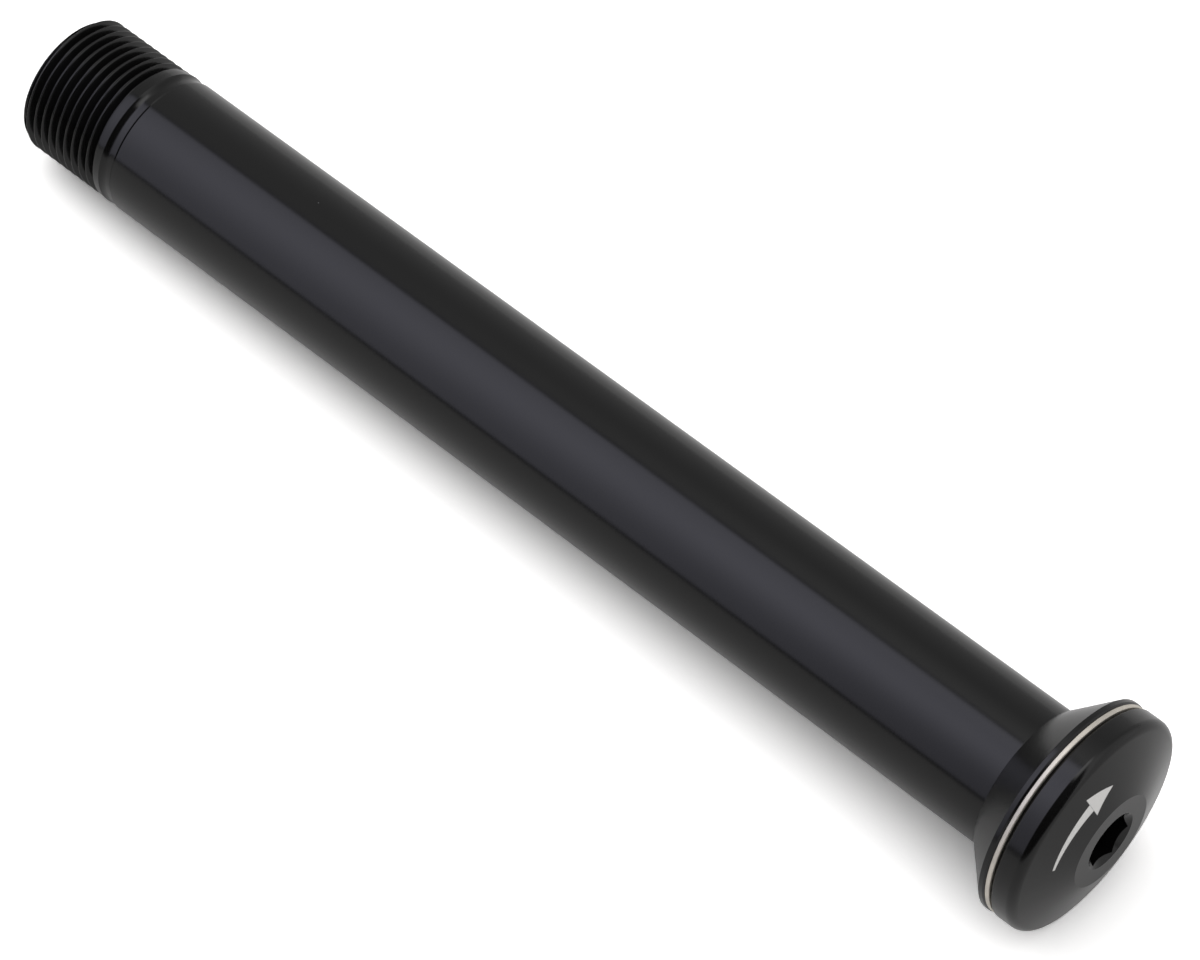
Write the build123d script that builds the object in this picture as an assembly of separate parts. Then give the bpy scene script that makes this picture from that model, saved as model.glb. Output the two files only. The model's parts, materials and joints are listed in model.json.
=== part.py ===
"""Front thru axle of a bicycle: a hollow turned axle with a thread at one end and a crowned
head at the other, a tapered washer that seats in the fork, and a slip washer between them.

Frame, in millimetres: X runs along the axle, from the threaded end to the head. The origin is
on the axis, where the taper reaches its full diameter. Z is up and the axle lies level.
"""
import os
from math import cos, radians, tan

from build123d import *

# Shank and thread, from the threaded end towards the head
seat_to_end = 128.5     # taper's full diameter to the threaded end
shank_d = 15.0          # plain shank
thread_length = 10.0    # thread with its end chamfer
thread_under = 0.03     # thread crest below the shank, on the radius
end_chamfer = 0.6       # 45 degree lead on the thread
pilot_length = 1.05     # plain pilot behind the thread, tapering up to the shank's size
pilot_under = 0.08      # pilot below the shank where it starts, on the radius
groove_fall = 0.4       # length of the slope from the pilot down into the groove
groove_floor = 1.1      # flat bottom of the groove
groove_rise = 0.15      # length of the slope from the groove up to the shank
groove_depth = 0.15     # below the shank, on the radius
neck_relief = 0.2       # neck under the washers, below the shank on the radius
neck_lead = 0.1         # neck showing in front of the tapered washer

# Hollow of the axle, open at the threaded end
bore_d = 10.0
bore_depth = 120.0      # to the end of the full diameter
bore_chamfer = 0.4
drill_point = 118.0     # included angle of the drilled ends, degrees

# Head
head_d = 23.2
rim_height = 2.75       # underside to the corner where rim and crown lines meet
rim_chamfer = 0.42      # underside edge
crown_angle = 17.0      # slope of the crown, degrees
crown_round = 1.02      # radius between rim and crown
facet_d = 10.2          # flat in the middle of the crown
hex_flats = 5.0         # key size across flats
hex_depth = 6.0
hex_turn = 42.0         # a corner of the hexagon from +Y towards +Z, degrees
socket_lead = 0.24      # round 45 degree mouth beyond the hexagon's corners, on the radius

# Washers
washer_clearance = 0.05     # washer bores over the shank, on the radius
face_play = 0.02            # between the stacked faces
taper_angle = 45.0          # taper's surface to the axis, degrees
taper_nose = 0.3            # wall left at the taper's thin end
taper_land = 0.62           # plain edge behind the taper
taper_edge = 0.15           # chamfer on the land's rear edge
slip_thickness = 0.5
slip_inset = 0.1            # slip washer inside the head's rim, on the radius
slip_edge = 0.08            # broken edges of the slip washer

# Radii and stations that follow
shank_r = shank_d / 2
head_r = head_d / 2
facet_r = facet_d / 2
bore_r = bore_d / 2
thread_r = shank_r - thread_under
neck_r = shank_r - neck_relief
washer_bore_r = shank_r + washer_clearance
hex_corner_r = hex_flats / 2 / cos(radians(30))
mouth_r = hex_corner_r + socket_lead
nose_r = washer_bore_r + taper_nose

end_x = -seat_to_end
pilot_x = end_x + thread_length
fall_x = pilot_x + pilot_length
floor_x = fall_x + groove_fall
rise_x = floor_x + groove_floor
shank_x = rise_x + groove_rise
nose_x = -(head_r - nose_r) / tan(radians(taper_angle))
neck_x = nose_x - neck_lead
slip_x = taper_land + face_play
head_x = slip_x + slip_thickness + face_play
corner_x = head_x + rim_height
facet_x = corner_x + (head_r - facet_r) * tan(radians(crown_angle))


def turned(points):
    """Solid turned about X from a closed outline of (station, radius) points."""
    return revolve(make_face(Polyline(*points, close=True)), Axis.X)


def point_height(radius):
    """Length of a drill's cone of this radius."""
    return radius / tan(radians(drill_point / 2))


def axle_outline():
    """Half section of the outside, with the crown's outer corner rounded."""
    section = make_face(
        Polyline(
            (end_x, 0),
            (end_x, thread_r - end_chamfer),
            (end_x + end_chamfer, thread_r),
            (pilot_x, thread_r),
            (pilot_x, shank_r - pilot_under),
            (fall_x, shank_r),
            (floor_x, shank_r - groove_depth),
            (rise_x, shank_r - groove_depth),
            (shank_x, shank_r),
            (neck_x, shank_r),
            (neck_x, neck_r),
            (head_x, neck_r),
            (head_x, head_r - rim_chamfer),
            (head_x + rim_chamfer, head_r),
            (corner_x, head_r),
            (facet_x, facet_r),
            (facet_x, 0),
            close=True,
        )
    )
    corner = section.vertices().sort_by_distance((corner_x, head_r))[0]
    return fillet(corner, crown_round)


def hollow():
    """Drilled bore from the threaded end, with a chamfered mouth and a drill point."""
    drilled_x = end_x + bore_depth
    return turned([
        (end_x, 0),
        (end_x, bore_r + bore_chamfer),
        (end_x + bore_chamfer, bore_r),
        (drilled_x, bore_r),
        (drilled_x + point_height(bore_r), 0),
    ])


def hex_socket():
    """Hexagon for the key, its drilled bottom and its round mouth."""
    bottom_x = facet_x - hex_depth
    drill_r = hex_flats / 2
    face = Plane(origin=(bottom_x, 0, 0), x_dir=(0, 1, 0), z_dir=(1, 0, 0))
    hexagon = extrude(face * Rot(Z=hex_turn) * RegularPolygon(hex_corner_r, 6), hex_depth)
    bottom = turned([(bottom_x, 0), (bottom_x, drill_r), (bottom_x - point_height(drill_r), 0)])
    mouth = turned([(facet_x, 0), (facet_x, mouth_r), (facet_x - mouth_r, 0)])
    return hexagon + bottom + mouth


def make_axle():
    return revolve(axle_outline(), Axis.X) - hollow() - hex_socket()


def make_tapered_washer():
    return turned([
        (nose_x, washer_bore_r),
        (nose_x, nose_r),
        (0, head_r),
        (taper_land - taper_edge, head_r),
        (taper_land, head_r - taper_edge),
        (taper_land, washer_bore_r),
    ])


def make_slip_washer():
    outer_r = head_r - slip_inset
    back_x = slip_x + slip_thickness
    return turned([
        (slip_x, washer_bore_r + slip_edge),
        (slip_x, outer_r - slip_edge),
        (slip_x + slip_edge, outer_r),
        (back_x - slip_edge, outer_r),
        (back_x, outer_r - slip_edge),
        (back_x, washer_bore_r + slip_edge),
        (back_x - slip_edge, washer_bore_r),
        (slip_x + slip_edge, washer_bore_r),
    ])


def main():
    pieces = {
        "axle": make_axle(),
        "tapered_washer": make_tapered_washer(),
        "slip_washer": make_slip_washer(),
    }
    os.makedirs("parts", exist_ok=True)
    for name, solid in pieces.items():
        solid.label = name
        export_step(solid, f"parts/{name}.step")


main()
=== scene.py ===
import json
import math

import bpy
import numpy as np
from mathutils import Matrix, Vector


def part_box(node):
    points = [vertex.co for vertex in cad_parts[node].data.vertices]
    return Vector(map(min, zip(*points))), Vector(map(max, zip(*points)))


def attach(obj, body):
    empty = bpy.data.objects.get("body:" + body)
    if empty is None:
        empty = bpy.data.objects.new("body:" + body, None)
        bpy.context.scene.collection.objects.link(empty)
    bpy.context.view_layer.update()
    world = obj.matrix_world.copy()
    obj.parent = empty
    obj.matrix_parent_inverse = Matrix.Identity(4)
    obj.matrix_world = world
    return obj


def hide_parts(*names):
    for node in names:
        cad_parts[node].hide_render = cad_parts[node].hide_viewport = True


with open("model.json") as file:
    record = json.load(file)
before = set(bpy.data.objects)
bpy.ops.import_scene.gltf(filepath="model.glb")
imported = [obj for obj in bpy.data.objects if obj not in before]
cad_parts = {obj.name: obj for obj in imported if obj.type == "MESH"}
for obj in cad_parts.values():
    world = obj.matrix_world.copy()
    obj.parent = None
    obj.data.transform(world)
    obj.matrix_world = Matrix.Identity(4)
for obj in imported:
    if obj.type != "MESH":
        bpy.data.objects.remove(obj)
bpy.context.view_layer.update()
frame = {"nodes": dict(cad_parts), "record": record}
mm = 0.001
fullTurn = 2 * math.pi
print("frame loaded:", sorted(frame["nodes"]))


# Sizes that the frame gives, in mm: stations lie along X, from the threaded end to the head

def reach(node):
    # a node's first and last station, and its largest distance from the axis
    low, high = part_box(node)
    radius = max(high.y, high.z, -low.y, -low.z)
    return [round(size / mm, 3) for size in (low.x, high.x, radius)]


def fitRadius(name):
    # the radius of a mount, where another part fits
    return next(mount["dims"]["r_mm"] for mount in frame["record"]["mounts"] if mount["name"] == name)


endX, facetX, headRadius = reach("axle")
noseX, landX, taperRadius = reach("tapered_washer")
slipFrontX, slipBackX, slipRadius = reach("slip_washer")
shankRadius, crestRadius, boreRadius = (fitRadius(name) for name in ("shank", "thread", "hollow"))


# Turned surfaces: a half section carried round the X axis

lathe = {
    "columns": 240,         # a multiple of six, so that columns fall on the socket's corners
    "arcSteps": 6,          # faces across a rounded corner
    "weldDecimals": 6,      # points that agree to this many decimals of a mm are one
}


def columnAngles(start):
    # even steps round the axis, in radians from +Y towards +Z; the start is in degrees
    return math.radians(start) + np.arange(lathe["columns"]) * fullTurn / lathe["columns"]


def aroundAxis(station, radius, angle):
    # Places, or directions, given along the axis and out from it, are turned to an angle about X:
    # the station stays, and the radius goes to its cosine along Y and its sine along Z.
    return np.stack(np.broadcast_arrays(station, radius * np.cos(angle), radius * np.sin(angle)), -1)


def roundedOutline(corners, steps=lathe["arcSteps"]):
    # Corners are (station, radius, rounding) in mm, with the metal to the right of the path. A corner becomes
    # an arc tangent to both legs: its centre lies one rounding off each leg, and its normal swings evenly.
    points = np.array([corner[:2] for corner in corners], float)
    rounding = np.array([corner[2] for corner in corners], float)
    leg = points - np.roll(points, 1, 0)
    leg /= np.linalg.norm(leg, axis=1, keepdims=True)
    nextLeg = np.roll(leg, -1, 0)
    side = np.stack([-leg[:, 1], leg[:, 0]], 1)
    bend = np.arctan2(leg[:, 0] * nextLeg[:, 1] - leg[:, 1] * nextLeg[:, 0], (leg * nextLeg).sum(1))
    signed = (np.sign(bend) * rounding)[:, None]
    centre = points - leg * (rounding * np.tan(np.abs(bend) / 2))[:, None] + side * signed
    swing = bend[:, None] * np.linspace(0, 1, steps + 1)
    normals = np.stack([
        side[:, :1] * np.cos(swing) - side[:, 1:] * np.sin(swing),
        side[:, :1] * np.sin(swing) + side[:, 1:] * np.cos(swing),
    ], 2)
    return centre[:, None] - signed[:, None] * normals, normals


def withoutEnds(outline):
    # the first and last corners of an open outline only give its end legs their direction
    return [part[1:-1] for part in outline]


def turnedRows(outline, angle):
    # every outline point becomes a ring, and its normal turns with it
    point, normal = (part.reshape(-1, 2) for part in outline)
    return aroundAxis(point[:, :1], point[:, 1:], angle), aroundAxis(normal[:, :1], normal[:, 1:], angle)


def weldedFaces(points, quads):
    # Points that share a place become one. A quad that closes up to three corners becomes a triangle, and one
    # that closes up further is left out.
    places = points.round(lathe["weldDecimals"])
    _, kept, weld = np.unique(places, axis=0, return_index=True, return_inverse=True)
    quads = weld.reshape(-1)[quads]
    double = quads == np.roll(quads, -1, 1)
    count = double.sum(1)
    triangles = quads[count == 1][~double[count == 1]].reshape(-1, 3)
    return kept, weld.reshape(-1), quads[count == 0].tolist() + triangles.tolist()


def surfaceObject(name, place, facing, poles=None, meets=None):
    # A grid of rings, closed round the axis. Without poles the last ring joins the first, as on a washer;
    # with poles a fan of triangles closes each end on the axis. A row that climbs, as on a thread, meets
    # another row after one turn.
    rows, columns = place.shape[:2]
    index = np.arange(rows * columns).reshape(rows, columns)
    ahead = np.roll(index, -1, 1)
    if meets is not None:
        ahead[:, -1] = index[meets, 0]
    if poles is None:
        index, ahead = np.vstack([index, index[:1]]), np.vstack([ahead, ahead[:1]])
    quads = np.stack([index[:-1], ahead[:-1], ahead[1:], index[1:]], 2).reshape(-1, 4)
    points, normals = place.reshape(-1, 3), facing.reshape(-1, 3)
    kept, weld, faces = weldedFaces(points, quads)
    points, normals = points[kept], normals[kept]
    if poles is not None:
        index, ahead = weld[index], weld[ahead]
        tip = np.full(columns, len(points))
        faces += np.stack([tip, ahead[0], index[0]], 1).tolist()
        faces += np.stack([index[-1], ahead[-1], tip + 1], 1).tolist()
        points = np.vstack([points, [(poles[0], 0, 0), (poles[1], 0, 0)]])
        normals = np.vstack([normals, [(-1, 0, 0), (1, 0, 0)]])
    mesh = bpy.data.meshes.new(name)
    mesh.from_pydata((points * mm).tolist(), [], faces)
    mesh.polygons.foreach_set("use_smooth", np.ones(len(faces), bool))
    mesh.normals_split_custom_set_from_vertices(normals.tolist())
    made = bpy.data.objects.new(name, mesh)
    bpy.context.scene.collection.objects.link(made)
    print(name, "faces:", len(faces))
    return made


# The axle, in mm; what is called From, To, length or phase is measured from the threaded end

axle = {
    "boreDepth": 120.0, "borePoint": 3.0, "boreChamfer": 0.4,
    "grooveFrom": (11.61, 12.57), "grooveDepth": 0.22, "grooveRound": 1.6,
    "reliefFrom": (12.73, 12.81), "reliefDepth": 0.09,      # fine line at the shank's shoulder
    "shankFrom": 12.85, "neckLead": 0.1, "neckRelief": 0.2,     # the neck starts just before the washers
    "facePlay": 0.02, "rimHeight": 2.75, "rimChamfer": 0.42, "crownRound": 1.02, "facetRadius": 5.1,
    "edge": {       # small roundings
        "drill": 0.05, "end": 0.03, "pilot": 0.06, "relief": 0.02, "shank": 0.03, "shoulder": 0.04,
        "neck": 0.03, "under": 0.05, "rim": 0.1, "facet": 0.08, "mouth": 0.03,
    },
    "arcSteps": 10,
}
thread = {
    "length": 10.0, "endChamfer": 0.6, "pilotTo": 11.22, "pilotUnder": (0.08, -0.02),
    "pitch": 1.044, "phase": 1.04, "depth": 0.75, "topWidth": 0.935, "rootWidth": 0.14,
    "softness": 0.12, "blankSoft": 0.01,        # rounding of the groove's bends, and at the blank
    "fadeFrom": (9.9, 10.15), "gridFrom": (0.06, 10.6),
    "bendRows": (2, 4), "rowGap": 0.004, "slopeStep": 0.002,        # rows across the bends at root and top
}
hexSocket = {
    "turn": 42.0, "flats": 5.0, "depth": 6.0, "point": 1.5,
    "mouthRadius": 3.127, "mouthFall": 0.74,        # mm deeper for each mm nearer the axis
    "mouthLeg": 0.1, "edge": 0.015, "floorRound": 0.05, "drillInset": (0.06, 0.1),
    "nudge": 1e-9, "cornerSpan": 1e-6,      # radians: against rounding, and what counts as on a corner
}


def softRamp(t, soft):
    # 0 below and t above, joined by a parabola over -soft..soft
    return np.where(t < -soft, 0, np.where(t > soft, t, (t + soft) ** 2 / (4 * soft)))


def softLower(a, b, soft):
    # the lower of two heights, with their meeting rounded off
    return a - softRamp(a - b, soft)


def pilotRadii():
    # the pilot behind the thread tapers up, from below the shank's size to just above it
    return shankRadius - np.array(thread["pilotUnder"])


def threadRadius(x, a):
    # Radius at a distance from the threaded end and an angle: the lower of the turned blank and of the crest
    # cylinder less the groove. The groove is a V with a flat root whose centre line climbs one pitch a turn,
    # and it runs out towards the pilot.
    t = thread
    lead = np.minimum(crestRadius - t["endChamfer"] + x, crestRadius)
    pilot = np.interp(x, [t["length"], t["pilotTo"]], pilotRadii())
    blank = np.where(x < t["length"], lead, pilot)
    climb = t["phase"] + t["pitch"] * a / fullTurn
    centre = climb + t["pitch"] * np.round((x - climb) / t["pitch"])
    flank = (t["topWidth"] - t["rootWidth"]) / 2
    across = (t["topWidth"] / 2 - np.abs(x - centre)) / flank
    cut = softRamp(across, t["softness"]) - softRamp(across - 1, t["softness"])
    fadeStart, fadeEnd = t["fadeFrom"]
    fade = 1 - np.clip((centre - fadeStart) / (fadeEnd - fadeStart), 0, 1)
    return softLower(blank, crestRadius - t["depth"] * cut * fade, t["blankSoft"])


def threadOffsets():
    # places across one pitch, from one crest's middle to the next, closest together where the profile bends
    t = thread
    bend = t["softness"] * (t["topWidth"] - t["rootWidth"]) / 2
    root, top = t["rootWidth"] / 2, t["topWidth"] / 2
    acrossRoot, acrossTop = (bend * np.linspace(-1, 1, count) for count in t["bendRows"])
    half = np.concatenate([[0], root + acrossRoot, [(root + top) / 2], top + acrossTop])
    half = half[half < t["pitch"] / 2 - t["rowGap"]]
    return np.concatenate([[-t["pitch"] / 2], -half[:0:-1], half])


def threadRows(angle):
    # Rows run along the helix, so that a crest is one smooth line of points. They are cut off square at both
    # ends of the grid, where they close up to a ring. The slopes are differences of the radius over a short
    # step.
    t, step = thread, thread["slopeStep"]
    first, last = t["gridFrom"]
    a = angle[None, :]
    climb = t["phase"] + t["pitch"] * a / fullTurn
    firstTurn = math.floor((first - climb.max()) / t["pitch"])
    lastTurn = math.ceil((last - climb.min()) / t["pitch"])
    turns = np.arange(firstTurn, lastTurn + 1)
    along = (turns[:, None] * t["pitch"] + threadOffsets()).reshape(-1, 1)
    x = np.clip(along + climb, first, last)
    r = threadRadius(x, a)
    slopeX = (threadRadius(x + step, a) - threadRadius(x - step, a)) / (2 * step)
    slopeA = (threadRadius(x, a + step) - threadRadius(x, a - step)) / (2 * step) / r
    facing = np.stack([-slopeX, np.cos(a) + slopeA * np.sin(a), np.sin(a) - slopeA * np.cos(a)], 2)
    return aroundAxis(endX + x, r, a), facing / np.linalg.norm(facing, axis=2, keepdims=True)


def socketRows(angle):
    # A hexagon in polar form, half its flats over the cosine from the nearest flat's middle. A cone opens its
    # mouth, so the cone meets each wall at a depth that grows as the wall stands further inside the mouth.
    s = hexSocket
    edge, fall, floorRound, drillInset = (s[key] for key in ("edge", "mouthFall", "floorRound", "drillInset"))
    sixth = fullTurn / 6
    fromCorner = np.mod(angle - math.radians(s["turn"]) + s["nudge"], sixth)
    wallAngle = np.where(fromCorner < s["cornerSpan"], angle, angle - fromCorner + sixth / 2)
    wall = s["flats"] / 2 / np.cos(fromCorner - sixth / 2)
    meetX = facetX - fall * (s["mouthRadius"] - wall)
    bottomX, drill = facetX - s["depth"], s["flats"] / 2
    slant = 1 / math.hypot(1, fall)
    cone = aroundAxis(slant, -fall * slant, angle)
    inward = aroundAxis(0, -1, wallAngle)
    upward = aroundAxis(1, 0, angle)
    rows = [
        (meetX + fall * edge, wall + edge, cone),
        (meetX - edge, wall, inward),
        (bottomX + floorRound, wall, inward),
        (bottomX, wall - floorRound, upward),
        (bottomX, drill - drillInset[0], upward),
        (bottomX - floorRound, drill - drillInset[1], cone),
    ]
    place = np.stack([aroundAxis(station, radius, angle) for station, radius, _ in rows])
    return place, np.stack([normal for _, _, normal in rows])


def boreOutline():
    # from the drill point out along the hollow, over the threaded end and up its chamfer
    a, t, edge = axle, thread, axle["edge"]
    drilledX = endX + a["boreDepth"]
    return roundedOutline([
        (drilledX + a["borePoint"], 0, 0),
        (drilledX, boreRadius, edge["drill"]),
        (endX + a["boreChamfer"], boreRadius, edge["end"]),
        (endX, boreRadius + a["boreChamfer"], edge["end"]),
        (endX, crestRadius - t["endChamfer"], edge["end"]),
        (endX + t["endChamfer"], crestRadius, 0),
    ])


def headOutline():
    # from the pilot over the groove, shank and neck, round the head and in over the crown to the socket
    a, t, s, edge = axle, thread, hexSocket, axle["edge"]
    pilotStart, pilotEnd = pilotRadii()
    grooveX, reliefX = (endX + np.array(a[key]) for key in ("grooveFrom", "reliefFrom"))
    grooveRadius = shankRadius - a["grooveDepth"]
    reliefRadius = grooveRadius - a["reliefDepth"]
    neckX, neckRadius = noseX - a["neckLead"], shankRadius - a["neckRelief"]
    headX = slipBackX + a["facePlay"]
    return roundedOutline([
        (endX + t["length"], pilotStart, 0),
        (endX + t["pilotTo"], pilotEnd, edge["pilot"]),
        (grooveX[0], grooveRadius, a["grooveRound"]),
        (grooveX[1], grooveRadius, edge["relief"]),
        (reliefX[0], reliefRadius, edge["relief"]),
        (reliefX[1], reliefRadius, edge["relief"]),
        (endX + a["shankFrom"], shankRadius, edge["shank"]),
        (neckX, shankRadius, edge["shoulder"]),
        (neckX, neckRadius, edge["neck"]),
        (headX, neckRadius, edge["under"]),
        (headX, headRadius - a["rimChamfer"], edge["under"]),
        (headX + a["rimChamfer"], headRadius, edge["rim"]),
        (headX + a["rimHeight"], headRadius, a["crownRound"]),
        (facetX, a["facetRadius"], edge["facet"]),
        (facetX, s["mouthRadius"], edge["mouth"]),
        (facetX - s["mouthLeg"] * s["mouthFall"], s["mouthRadius"] - s["mouthLeg"], 0),
    ], a["arcSteps"])


def makeAxle():
    # one path of rows: out of the hollow, along the thread's helix, over the shank and head, into the socket
    a, s = axle, hexSocket
    angle = columnAngles(s["turn"])
    blocks = [
        turnedRows(withoutEnds(boreOutline()), angle),
        threadRows(angle),
        turnedRows(withoutEnds(headOutline()), angle),
        socketRows(angle),
    ]
    place, facing = (np.concatenate(part) for part in zip(*blocks))
    tips = (endX + a["boreDepth"] + a["borePoint"], facetX - s["depth"] - s["point"])
    meets = np.arange(len(place))
    start = len(blocks[0][0])
    end = start + len(blocks[1][0])
    meets[start:end] = np.minimum(meets[start:end] + len(threadOffsets()), end - 1)     # one pitch on
    return surfaceObject("axleTurned", place, facing, tips, meets)


# The two loose washers, in mm

washerPlay = 0.05       # their bores over the shank, on the radius
taperedWasher = {
    "noseWall": 0.3, "landEdge": 0.15,
    "boreRound": 0.03, "noseRound": 0.04, "taperRound": 0.08, "landRound": 0.05,
}
slipWasher = {
    "edge": 0.08, "edgeRound": 0.05, "arcSteps": 4,
}


def makeTaperedWasher():
    # the taper runs from the nose to the frame's origin, where it reaches its full radius
    w, bore = taperedWasher, shankRadius + washerPlay
    outline = roundedOutline([
        (noseX, bore, w["boreRound"]),
        (noseX, bore + w["noseWall"], w["noseRound"]),
        (0, taperRadius, w["taperRound"]),
        (landX - w["landEdge"], taperRadius, w["landRound"]),
        (landX, taperRadius - w["landEdge"], w["landRound"]),
        (landX, bore, w["boreRound"]),
    ])
    return surfaceObject("taperedRing", *turnedRows(outline, columnAngles(0)))


def makeSlipWasher():
    # a flat ring whose four edges are bevelled, with each bevel's corners rounded
    w, bore = slipWasher, shankRadius + washerPlay
    edge, edgeRound = w["edge"], w["edgeRound"]
    outline = roundedOutline([
        (slipFrontX, bore + edge, edgeRound),
        (slipFrontX, slipRadius - edge, edgeRound),
        (slipFrontX + edge, slipRadius, edgeRound),
        (slipBackX - edge, slipRadius, edgeRound),
        (slipBackX, slipRadius - edge, edgeRound),
        (slipBackX, bore + edge, edgeRound),
        (slipBackX - edge, bore, edgeRound),
        (slipFrontX + edge, bore, edgeRound),
    ], w["arcSteps"])
    return surfaceObject("slipRing", *turnedRows(outline, columnAngles(0)))


axleTurned = makeAxle()
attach(axleTurned, "axle")
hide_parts("axle")

taperedRing = makeTaperedWasher()
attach(taperedRing, "tapered_washer")
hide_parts("tapered_washer")

slipRing = makeSlipWasher()
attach(slipRing, "slip_washer")
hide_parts("slip_washer")
print("pieces made")


# Materials: shader sums are written as Python expressions on wires

class Wire:
    # a shader output that can stand in a sum; each operator adds a Math node
    def __init__(self, tree, socket=None):
        self.tree, self.socket = tree, socket

    def node(self, kind, settings=None, output=0, **inputs):
        # Any node: its settings first, then its sockets by name, or by place as in1, in2 and so on
        made = self.tree.nodes.new(kind)
        for key, value in (settings or {}).items():
            setattr(made, key, value)
        for key, value in inputs.items():
            place = int(key[2:]) - 1 if key[:2] == "in" and key[2:].isdigit() else key.replace("_", " ")
            if isinstance(value, Wire):
                self.tree.links.new(value.socket, made.inputs[place])
            else:
                made.inputs[place].default_value = value
        return Wire(self.tree, made.outputs[output] if made.outputs else None)

    def math(self, operation, *values):
        inputs = {f"in{i + 1}": value for i, value in enumerate(values)}
        return self.node("ShaderNodeMath", {"operation": operation}, **inputs)

    def __add__(self, other):
        return self.math("ADD", self, other)

    def __radd__(self, other):
        return self.math("ADD", other, self)

    def __sub__(self, other):
        return self.math("SUBTRACT", self, other)

    def __rsub__(self, other):
        return self.math("SUBTRACT", other, self)

    def __mul__(self, other):
        return self.math("MULTIPLY", self, other)

    def __rmul__(self, other):
        return self.math("MULTIPLY", other, self)

    def __truediv__(self, other):
        return self.math("DIVIDE", self, other)

    def smooth(self, low, high):
        # 0 at low, 1 at high, eased between; low may be above high
        eased = {"interpolation_type": "SMOOTHSTEP"}
        return self.node("ShaderNodeMapRange", eased, in1=self, in2=low, in3=high)

    def between(self, low, high, soft):
        # 1 between low and high, 0 outside, eased over soft on each side of both
        return self.smooth(low - soft, low + soft) * self.smooth(high + soft, high - soft)

    def blend(self, first, second):
        # self is the factor between two colours
        return self.node("ShaderNodeMix", {"data_type": "RGBA"}, output=2, in1=self, in7=first, in8=second)


def startMaterial(name):
    material = bpy.data.materials.new(name)
    material.use_nodes = True
    tree = material.node_tree
    tree.nodes.clear()
    start = Wire(tree)
    place = start.node("ShaderNodeTexCoord", output="Object")
    inMm = start.node("ShaderNodeVectorMath", {"operation": "SCALE"}, in1=place, Scale=1 / mm)
    return material, start, inMm


def finishMaterial(material, start, surface):
    start.node("ShaderNodeOutputMaterial", in1=surface)
    return material


def splitPlace(start, place):
    return [start.node("ShaderNodeSeparateXYZ", output=i, in1=place) for i in range(3)]


def axisPlaces(start, inMm):
    # station and distance from the axis of the point being shaded
    x, y, z = splitPlace(start, inMm)
    return x, start.math("SQRT", y * y + z * z)


def axisAngle(start, inMm):
    # its angle about the axis, from +Y towards +Z
    _, y, z = splitPlace(start, inMm)
    return start.math("ARCTAN2", z, y)


def noise(start, inMm, scale, detail):
    return start.node("ShaderNodeTexNoise", Vector=inMm, Scale=scale, Detail=detail)


def turningLines(start, station, radius, scale, detail):
    # noise that changes along the outline only, so it runs round the piece as a lathe tool's lines do
    oneWay = {"noise_dimensions": "1D"}
    return start.node("ShaderNodeTexNoise", oneWay, W=station + radius, Scale=scale, Detail=detail)


noiseMiddle = 0.5       # what the noise swings about
anodised = {
    "black": (0.0026, 0.0025, 0.0025, 1), "index": 1.4,
    "roughness": 0.17, "washerRougher": 0.02, "threadRougher": 0.03, "threadSoft": 0.1,
    "cloudScale": 0.12, "cloudDetail": 3.0, "cloudRougher": 0.05,
    "lineScale": 9.0, "lineDetail": 2.0, "lineHeight": 0.0016,
    "grainScale": 14.0, "grainDetail": 1.0, "grainHeight": 0.0012,
    "dust": (0.10, 0.10, 0.105, 1), "dustRougher": 0.3,
    "dustCell": 5.0, "dustSize": 0.09, "dustCore": 0.4,     # mm, and the part of a speck that is solid
    "dustShare": 0.3, "dustFade": 0.5,      # share of the cells with a speck, and of those at full strength
}
etched = {
    "colour": (0.71, 0.70, 0.685, 1), "roughness": 0.45, "soft": 0.05,
    "radius": 7.8, "minX": 4.0, "stroke": (0.12, 0.5), "barb": 1.3,     # mm; stroke and barb are half widths
    "middle": 119.4, "tail": 39.0, "neck": -13.0, "tip": -35.0,     # degrees from +Y, then from the middle
}


def tighteningMark(start, inMm, station, radius):
    # A plain curved arrow on the crown, the way the axle is tightened: an arc that widens from its tail to
    # its neck, then a head that narrows to the tip. Both are distances in mm from the arc, made a mask with
    # soft edges.
    e, soft = etched, etched["soft"]
    thin, thick = e["stroke"]
    tail, neck, tip = (math.radians(1) * e["radius"] * e[key] for key in ("tail", "neck", "tip"))
    along = (axisAngle(start, inMm) - math.radians(e["middle"])) * e["radius"]
    off = start.math("ABSOLUTE", radius - e["radius"])
    half = thin + (tail - along) * ((thick - thin) / (tail - neck))
    shaft = (off - half).smooth(soft, -soft) * along.between(neck, tail, soft)
    width = (along - tip) * (e["barb"] / (neck - tip))
    head = (off - width).smooth(soft, -soft) * along.between(tip, neck, soft)
    return start.math("MAXIMUM", shaft, head) * station.smooth(e["minX"] - soft, e["minX"] + soft)


def dustSpecks(start, inMm):
    # a speck at the middle of some cells: near is the distance to it, and a cell's colour picks the cells
    a = anodised
    cells = {"feature": "F1", "distance": "EUCLIDEAN"}
    scale = 1 / a["dustCell"]
    near = start.node("ShaderNodeTexVoronoi", cells, output="Distance", Vector=inMm, Scale=scale)
    pick = start.node("ShaderNodeTexVoronoi", cells, output="Color", Vector=inMm, Scale=scale)
    chosen = start.node("ShaderNodeSeparateColor", output="Red", in1=pick)
    size, share = a["dustSize"] / a["dustCell"], a["dustShare"]
    return near.smooth(size, size * a["dustCore"]) * chosen.smooth(share, share * a["dustFade"])


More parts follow.
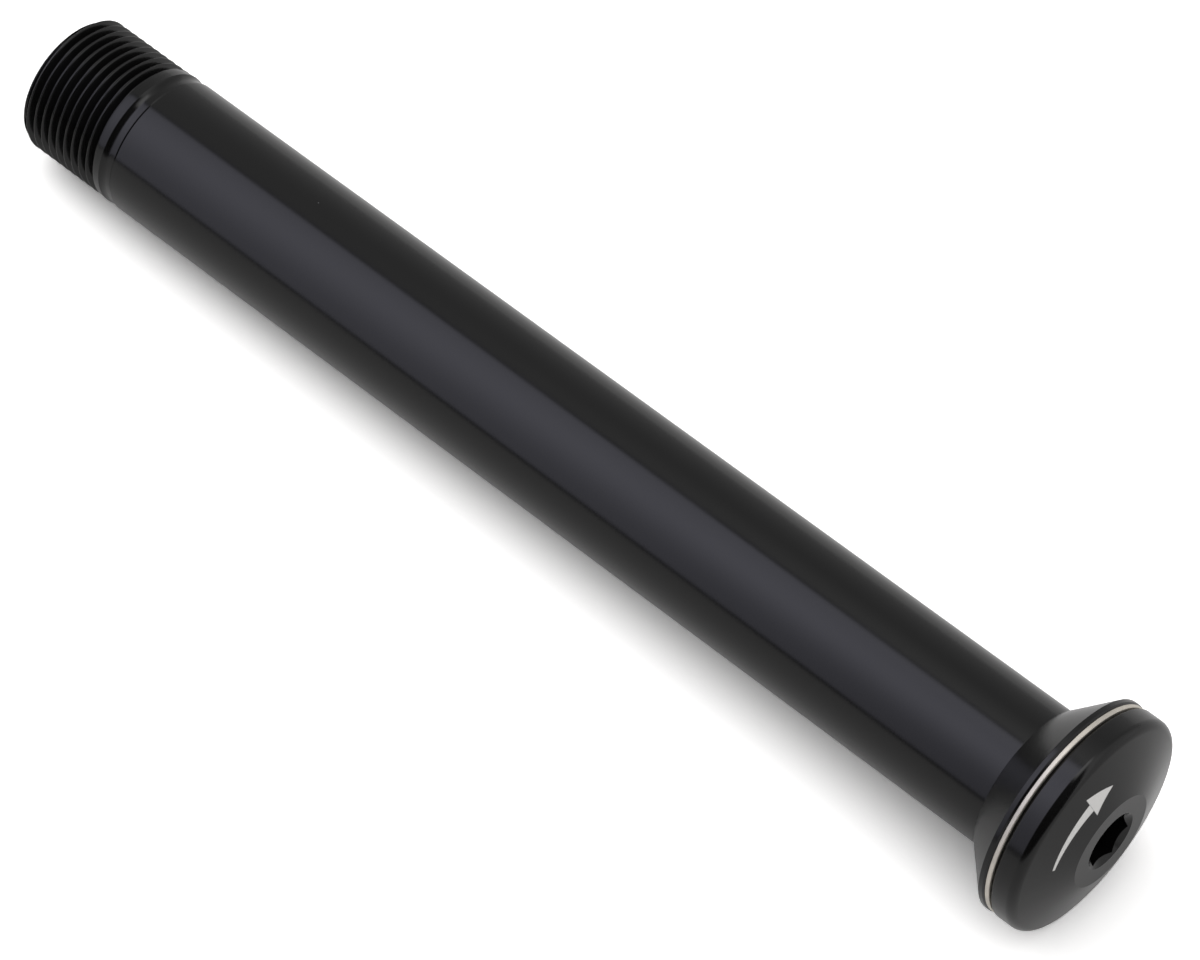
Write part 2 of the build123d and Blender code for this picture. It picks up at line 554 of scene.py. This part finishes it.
def anodisedMaterial(name, marked, roughness):
    a = anodised
    material, start, inMm = startMaterial(name)
    station, radius = axisPlaces(start, inMm)
    cloud = noise(start, inMm, a["cloudScale"], a["cloudDetail"])
    lines = turningLines(start, station, radius, a["lineScale"], a["lineDetail"])
    grain = noise(start, inMm, a["grainScale"], a["grainDetail"])
    dust = dustSpecks(start, inMm)
    colour = dust.blend(a["black"], a["dust"])
    threadX, soft = endX + thread["length"], a["threadSoft"]
    rough = roughness + a["cloudRougher"] * (cloud - noiseMiddle) + a["dustRougher"] * dust
    rough = rough + a["threadRougher"] * station.smooth(threadX + soft, threadX - soft)
    if marked:
        mark = tighteningMark(start, inMm, station, radius)
        colour = mark.blend(colour, etched["colour"])
        rough = rough + mark * (etched["roughness"] - roughness)
    height = lines * a["lineHeight"] + grain * a["grainHeight"]
    bump = start.node("ShaderNodeBump", Strength=1.0, Distance=mm, Height=height)
    surface = start.node("ShaderNodeBsdfPrincipled", Base_Color=colour, Roughness=rough, Normal=bump,
                         IOR=a["index"])
    return finishMaterial(material, start, surface)


steel = {
    "bright": (0.77, 0.725, 0.65, 1), "dull": (0.60, 0.565, 0.51, 1), "tone": (0.3, 0.7), "roughness": 0.55,
    "cloudScale": 0.5, "cloudDetail": 3.0, "cloudShare": 0.6,
    "lineScale": 14.0, "lineDetail": 3.0, "lineHeight": 0.002, "lineRougher": 0.1,
}


def steelMaterial(name):
    s = steel
    material, start, inMm = startMaterial(name)
    station, radius = axisPlaces(start, inMm)
    lines = turningLines(start, station, radius, s["lineScale"], s["lineDetail"])
    cloud = noise(start, inMm, s["cloudScale"], s["cloudDetail"])
    mottle = s["cloudShare"] * cloud + (1 - s["cloudShare"]) * lines
    colour = mottle.smooth(*s["tone"]).blend(s["dull"], s["bright"])
    rough = s["roughness"] + s["lineRougher"] * (lines - noiseMiddle)
    bump = start.node("ShaderNodeBump", Strength=1.0, Distance=mm, Height=lines * s["lineHeight"])
    surface = start.node("ShaderNodeBsdfPrincipled", Base_Color=colour, Metallic=1.0, Roughness=rough,
                         Normal=bump)
    return finishMaterial(material, start, surface)


washerRoughness = anodised["roughness"] + anodised["washerRougher"]
axleTurned.data.materials.append(anodisedMaterial("axleBlack", True, anodised["roughness"]))
taperedRing.data.materials.append(anodisedMaterial("washerBlack", False, washerRoughness))
slipRing.data.materials.append(steelMaterial("washerSteel"))
print("materials made")


# Studio: a pale floor under the lying axle, soft light and the photograph's camera

floorPlate = {
    "tilt": 1.85,       # degrees; the axle lies on its taper and its thread, so the floor leans
    "size": 3.0, "points": 9,       # metres and points along a side
    "colour": (0.765, 0.76, 0.757, 1), "gain": 2.21,
    "fibreScale": 1.5, "fibreDetail": 3.0, "fibreHeight": 0.1, "fibreStrength": 0.15,
}
camera = {
    "place": (162.86, -224.53, 442.11), "aim": (-57.309, 0.321, -2.806),        # mm
    "lens": 170.95, "sensor": 36.0, "clip": (0.01, 20.0),       # mm, mm and metres
}


def floorMaterial():
    # paper that is exposed to white where it is seen directly, and stays grey in the axle's gloss
    f = floorPlate
    material, start, inMm = startMaterial("floorPaper")
    fibre = noise(start, inMm, f["fibreScale"], f["fibreDetail"])
    bump = start.node("ShaderNodeBump", Strength=f["fibreStrength"], Distance=mm,
                      Height=fibre * f["fibreHeight"])
    white = tuple(part * f["gain"] for part in f["colour"][:3]) + (1,)
    colour = start.node("ShaderNodeLightPath", output="Is Camera Ray").blend(f["colour"], white)
    surface = start.node("ShaderNodeBsdfDiffuse", Color=colour, Normal=bump)
    return finishMaterial(material, start, surface)


def makeFloor():
    # a square plate: two parameters along its sides, tilted about Y and passing under the taper
    f = floorPlate
    lean = math.radians(f["tilt"])
    side = np.linspace(-0.5, 0.5, f["points"]) * f["size"]
    u, v = (part.ravel() for part in np.meshgrid(side, side, indexing="ij"))
    place = np.stack([u * math.cos(lean), v, -u * math.sin(lean) - taperRadius * mm], 1)
    index = np.arange(f["points"] ** 2).reshape(f["points"], f["points"])
    faces = np.stack([index[:-1, :-1], index[1:, :-1], index[1:, 1:], index[:-1, 1:]], 2).reshape(-1, 4)
    mesh = bpy.data.meshes.new("floor")
    mesh.from_pydata(place.tolist(), [], faces.tolist())
    made = bpy.data.objects.new("floor", mesh)
    bpy.context.scene.collection.objects.link(made)
    mesh.materials.append(floorMaterial())


def aimed(place, target, up):
    # a matrix at place whose -Z looks at the target
    back = (Vector(place) - Vector(target)).normalized()
    right = Vector(up).cross(back).normalized()
    turned = Matrix((right, back.cross(right), back)).transposed()
    return Matrix.Translation(Vector(place)) @ turned.to_4x4()


def makeCamera():
    # held upright to the floor
    lean = math.radians(floorPlate["tilt"])
    upright = (math.sin(lean), 0, math.cos(lean))
    data = bpy.data.cameras.new("camera")
    data.sensor_fit, data.sensor_width, data.lens = "HORIZONTAL", camera["sensor"], camera["lens"]
    data.clip_start, data.clip_end = camera["clip"]
    made = bpy.data.objects.new("camera", data)
    place, aim = (tuple(part * mm for part in camera[key]) for key in ("place", "aim"))
    made.matrix_world = aimed(place, aim, upright)
    bpy.context.scene.collection.objects.link(made)
    bpy.context.scene.camera = made


# Light, by direction: degrees about the axis, from +Y over the top to -Y, and the sine of the lean to +X

topLight = {
    "angle": (66.0, 91.0), "soft": 4.0, "leanRise": (-0.30, -0.20), "leanFall": (0.40, 0.0), "level": 2.3,
}
frontLight = {
    "angle": (79.0, 175.5), "soft": 1.5, "lean": (-0.16, -0.28), "colour": (0.945, 0.945, 1.11, 1),
    "level": (1.75, 2.1, 1.2), "rise": (78.0, 110.0), "fall": (110.0, 172.0),
    "headLoss": 0.38, "headLean": (-0.43, -0.29), "headAngle": (110.0, 150.0),
    "farLoss": 0.3, "farLean": (-0.38, -0.70),
}
rearWall = {
    "edge": 76.0, "soft": 2.0, "level": 0.5,
    "towardsHead": 0.35, "headLean": (0.0, 0.45),
    "towardsTop": 0.4, "topAngle": (40.0, 72.0), "topLean": (-0.5, -0.3),
}
softLight = {
    "rise": (35.0, 90.0), "fall": (148.0, 98.0), "level": 1.44, "least": 0.237,      # overhead, and all round
}
darkness = 0.02         # what the gloss sees where there is no light
tiny = 1e-4             # keeps a share from being divided by nothing


def topGlow(angle, lean):
    # a band overhead, mostly behind the axle, that fades towards the head
    t = topLight
    glow = angle.between(*t["angle"], t["soft"]) * lean.smooth(*t["leanRise"]) * lean.smooth(*t["leanFall"])
    return glow * t["level"]


def frontGlow(angle, lean):
    # strongest part way down, weaker near the head and far off past the thread
    f = frontLight
    first, most, last = f["level"]
    level = first + (most - first) * angle.smooth(*f["rise"]) - (most - last) * angle.smooth(*f["fall"])
    nearHead = f["headLoss"] * lean.smooth(*f["headLean"]) * angle.smooth(*f["headAngle"])
    farOff = f["farLoss"] * lean.smooth(*f["farLean"])
    shape = angle.between(*f["angle"], f["soft"]) * lean.smooth(*f["lean"])
    return shape * level * (1 - nearHead) * (1 - farOff)


def rearGlow(angle, lean):
    # all that is behind, up to an edge near the top, and brighter near the top and towards the head
    w = rearWall
    level = w["level"] + w["towardsHead"] * lean.smooth(*w["headLean"])
    level = level + w["towardsTop"] * angle.smooth(*w["topAngle"]) * lean.smooth(*w["topLean"])
    return level * angle.smooth(w["edge"] + w["soft"], w["edge"] - w["soft"])


def makeWorld():
    # What the gloss shows: a soft light overhead, a broad bluish one in front towards the thread, a dim wall
    # behind and darkness in front past the head. Each is a product of eased steps over angle and lean. The
    # floor and all that is matt are lit by the same room as one soft light, strong overhead and weak all
    # round.
    world = bpy.data.worlds.new("studio")
    bpy.context.scene.world = world
    world.use_nodes = True
    tree = world.node_tree
    tree.nodes.clear()
    start = Wire(tree)
    white = (1, 1, 1, 1)
    lean, away, rise = splitPlace(start, start.node("ShaderNodeTexCoord", output="Generated"))
    angle = start.math("ARCTAN2", rise, away) * math.degrees(1)
    front = frontGlow(angle, lean)
    plain = start.math("MAXIMUM", topGlow(angle, lean), rearGlow(angle, lean))
    s = softLight
    soft = s["least"] + s["level"] * angle.smooth(*s["rise"]) * angle.smooth(*s["fall"])
    inGloss = start.node("ShaderNodeLightPath", output="Is Glossy Ray")
    bluish = inGloss * front / (front + plain + tiny)
    colour = bluish.blend(white, frontLight["colour"])
    level = soft + inGloss * (front + plain + darkness - soft)
    lit = start.node("ShaderNodeBackground", Color=colour, Strength=level)
    seen = start.node("ShaderNodeBackground", Color=white)      # the backdrop past the floor
    forCamera = start.node("ShaderNodeLightPath", output="Is Camera Ray")
    surface = start.node("ShaderNodeMixShader", in1=forCamera, in2=lit, in3=seen)
    start.node("ShaderNodeOutputWorld", in1=surface)


makeFloor()
makeWorld()
makeCamera()
bpy.context.scene.view_settings.view_transform = "Standard"
print("studio made")
